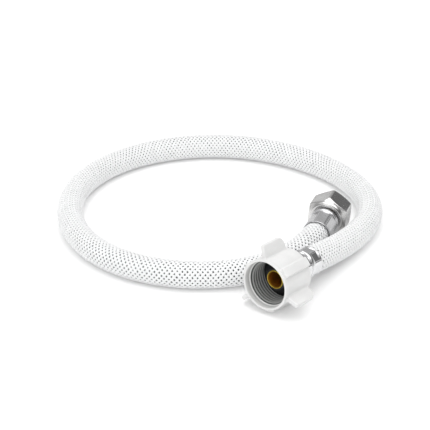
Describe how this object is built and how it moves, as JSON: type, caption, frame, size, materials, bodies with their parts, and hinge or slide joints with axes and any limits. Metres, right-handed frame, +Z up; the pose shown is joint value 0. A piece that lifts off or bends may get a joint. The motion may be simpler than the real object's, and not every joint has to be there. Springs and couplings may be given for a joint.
{
  "type": "braided supply line",
  "caption": "Flexible braided water supply line lying in an open loop, with a winged ballcock nut on one end and a hex compression nut on the other.",
  "frame": {"origin": "under the middle of the loop's bounding box, on the surface it lies on", "axes": "+Z up; +Y from the winged nut's end of the loop to its far side; the hex end lies inside the loop on the +X side"},
  "size_m": [0.178, 0.2068, 0.0348],
  "materials": {
    "braid": "satin white braided polymer strands",
    "liner": "smooth dark rubber liner",
    "nut_plastic": "light grey moulded acetal, satin",
    "black_rubber": "black moulded rubber",
    "white_nylon": "smooth white nylon",
    "brass": "turned brass",
    "ferrule_steel": "bright crimped stainless steel",
    "nickel_plate": "nickel plated brass"
  },
  "bodies": {
    "hose": {"inner_tube": "liner", "braid_sleeve": "braid", "cone_washer": "black_rubber", "ballcock_stem": "brass", "ballcock_ferrule": "ferrule_steel", "hex_seal": "black_rubber", "hex_stem": "brass", "hex_ferrule": "ferrule_steel"},
    "ballcock_slip_ring": {"ballcock_slip_ring": "white_nylon"},
    "ballcock_nut": {"ballcock_nut": "nut_plastic"},
    "hex_slip_ring": {"hex_slip_ring": "white_nylon"},
    "hex_nut": {"hex_nut": "nickel_plate"}
  },
  "joints": [
    {"name": "ballcock_ring_slide", "type": "slide", "parent": "hose", "child": "ballcock_slip_ring", "axis": [-0.6254, -0.7779, 0.061], "range_m": [0, 0.002]},
    {"name": "ballcock_nut_spin", "type": "hinge", "parent": "ballcock_slip_ring", "child": "ballcock_nut", "pos_m": [0.0211, -0.0932, 0.0157], "axis": [-0.6254, -0.7779, 0.061], "continuous": true},
    {"name": "hex_ring_slide", "type": "slide", "parent": "hose", "child": "hex_slip_ring", "axis": [0.3419, 0.9394, 0.0262], "range_m": [0, 0.0014]},
    {"name": "hex_nut_spin", "type": "hinge", "parent": "hex_slip_ring", "child": "hex_nut", "pos_m": [0.0609, -0.0009, 0.012], "axis": [0.3419, 0.9394, 0.0262], "continuous": true}
  ]
}
